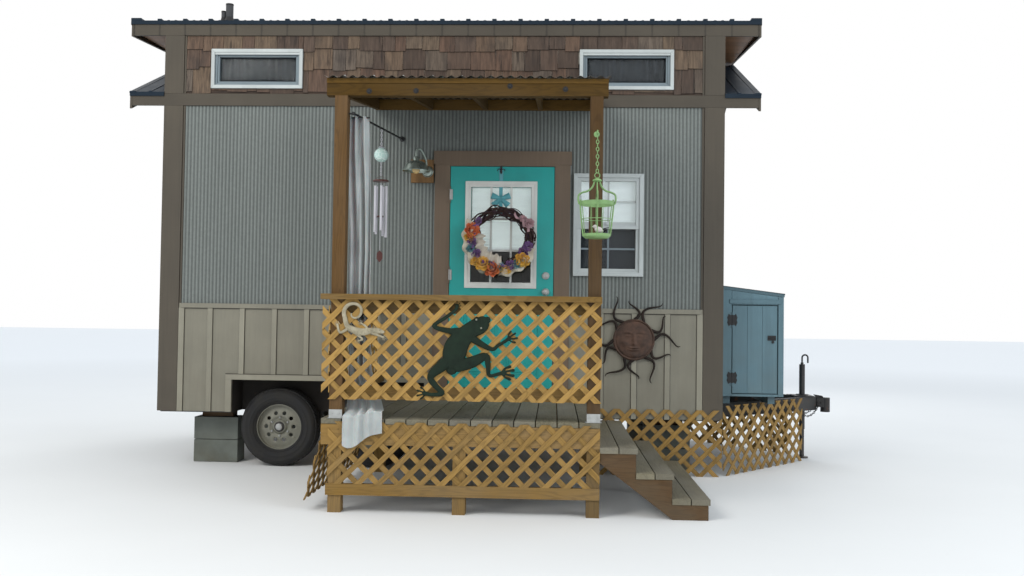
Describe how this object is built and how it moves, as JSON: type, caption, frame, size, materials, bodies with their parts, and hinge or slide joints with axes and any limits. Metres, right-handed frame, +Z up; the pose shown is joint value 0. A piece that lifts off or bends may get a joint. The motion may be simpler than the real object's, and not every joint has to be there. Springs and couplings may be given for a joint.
{
  "type": "tiny house on wheels",
  "caption": "Small gabled house on a twin-axle trailer, with a covered lattice porch, side steps, hinged doors and a hitch closet.",
  "frame": {"origin": "middle of the ground under the whole object's box", "axes": "+X along the house towards the hitch, +Y from the porch to the back wall, +Z up"},
  "size_m": [6.492, 4.7079, 4.11],
  "materials": {
    "trailer_steel": "worn black paint",
    "coupler_steel": "worn black paint with rust",
    "axle_steel": "dull, greasy",
    "jack_steel": "satin black",
    "tyre": "matt with mud",
    "rim": "painted silver, dusty",
    "concrete_block": "rough",
    "wheel_well": "dull dark",
    "floor_wood": "satin",
    "wall_panel": "matt paint",
    "corrugated_steel": "satin, galvanised grey",
    "batten_board": "matt paint",
    "cedar_shake": "weathered",
    "trim_paint": "matt paint",
    "roof_board": "rough",
    "roof_metal": "satin dark blue green",
    "vent_pipe": "dull",
    "door_casing_paint": "matt paint",
    "door_paint": "satin teal",
    "glass": "clear",
    "wreath": "twigs with cloth flowers",
    "window_vinyl": "white",
    "treated_pine": "sawn, golden",
    "deck_boards": "weathered",
    "lattice_pine": "sawn, golden",
    "porch_roof_metal": "weathered",
    "closet_paint": "matt paint",
    "galvanised": "weathered galvanised",
    "chime_metal": "satin",
    "lantern_paint": "satin green",
    "curtain_cloth": "faded cotton",
    "frog_metal": "dark green",
    "gecko_metal": "pale, satin",
    "sun_metal": "bronze, aged"
  },
  "bodies": {
    "house": {"trailer_rails": "trailer_steel", "trailer_ties": "trailer_steel", "tongue_rails": "trailer_steel", "hitch_coupler": "coupler_steel", "axles": "axle_steel", "jack_tube": "jack_steel", "pier_blocks": "concrete_block", "wheel_wells": "wheel_well", "floor": "floor_wood", "front_wall_left": "wall_panel", "front_wall_right": "wall_panel", "front_wall_over_door": "wall_panel", "back_wall": "wall_panel", "left_end_wall": "wall_panel", "right_end_wall": "wall_panel", "wall_siding": "corrugated_steel", "wainscot": "batten_board", "shake_bands": "cedar_shake", "corner_boards": "trim_paint", "fascia_boards": "trim_paint", "roof_deck": "roof_board", "roof_metal": "roof_metal", "roof_vent": "vent_pipe", "door_casing": "door_casing_paint", "window_frames": "window_vinyl", "window_glass": "glass", "porch_frame": "treated_pine", "porch_decking": "deck_boards", "porch_posts": "treated_pine", "porch_rails": "treated_pine", "rail_lattice": "lattice_pine", "porch_roof_frame": "treated_pine", "porch_roof_sheet": "porch_roof_metal", "porch_skirts": "lattice_pine", "step_stringers": "treated_pine", "step_treads": "deck_boards", "ground_skirts": "lattice_pine", "closet_box": "closet_paint", "barn_light": "galvanised", "curtain_rod": "jack_steel", "wind_chime": "chime_metal", "lantern": "lantern_paint", "curtain": "curtain_cloth", "frog_plaque": "frog_metal", "gecko_plaque": "gecko_metal", "sun_plaque": "sun_metal"},
    "front_door": {"front_door": "door_paint", "door_glass": "glass", "wreath": "wreath"},
    "closet_door": {"closet_door": "closet_paint"},
    "jack_leg": {"jack_leg": "jack_steel"},
    "jack_crank": {"jack_crank": "jack_steel"},
    "wheel_front_rear": {"tyre_front_rear": "tyre", "rim_front_rear": "rim"},
    "wheel_front_fore": {"tyre_front_fore": "tyre", "rim_front_fore": "rim"},
    "wheel_back_rear": {"tyre_back_rear": "tyre", "rim_back_rear": "rim"},
    "wheel_back_fore": {"tyre_back_fore": "tyre", "rim_back_fore": "rim"}
  },
  "joints": [
    {"name": "front_door_hinge", "type": "hinge", "parent": "house", "child": "front_door", "pos_m": [-0.382, -0.272, 1.64], "axis": [0, 0, -1], "range_deg": [0, 100]},
    {"name": "closet_door_hinge", "type": "hinge", "parent": "house", "child": "closet_door", "pos_m": [2.111, 0.044, 1.08], "axis": [0, 0, -1], "range_deg": [0, 100]},
    {"name": "jack_slide", "type": "slide", "parent": "house", "child": "jack_leg", "axis": [0, 0, 1], "range_m": [0, 0.25]},
    {"name": "jack_crank_turn", "type": "hinge", "parent": "house", "child": "jack_crank", "pos_m": [2.976, 1.048, 0.95], "axis": [0, 0, 1], "continuous": true},
    {"name": "wheel_front_rear_spin", "type": "hinge", "parent": "house", "child": "wheel_front_rear", "pos_m": [-1.878, -0.076, 0.345], "axis": [0, 1, 0], "continuous": true},
    {"name": "wheel_front_fore_spin", "type": "hinge", "parent": "house", "child": "wheel_front_fore", "pos_m": [-1.038, -0.076, 0.345], "axis": [0, 1, 0], "continuous": true},
    {"name": "wheel_back_rear_spin", "type": "hinge", "parent": "house", "child": "wheel_back_rear", "pos_m": [-1.878, 2.172, 0.345], "axis": [0, 1, 0], "continuous": true},
    {"name": "wheel_back_fore_spin", "type": "hinge", "parent": "house", "child": "wheel_back_fore", "pos_m": [-1.038, 2.172, 0.345], "axis": [0, 1, 0], "continuous": true}
  ]
}
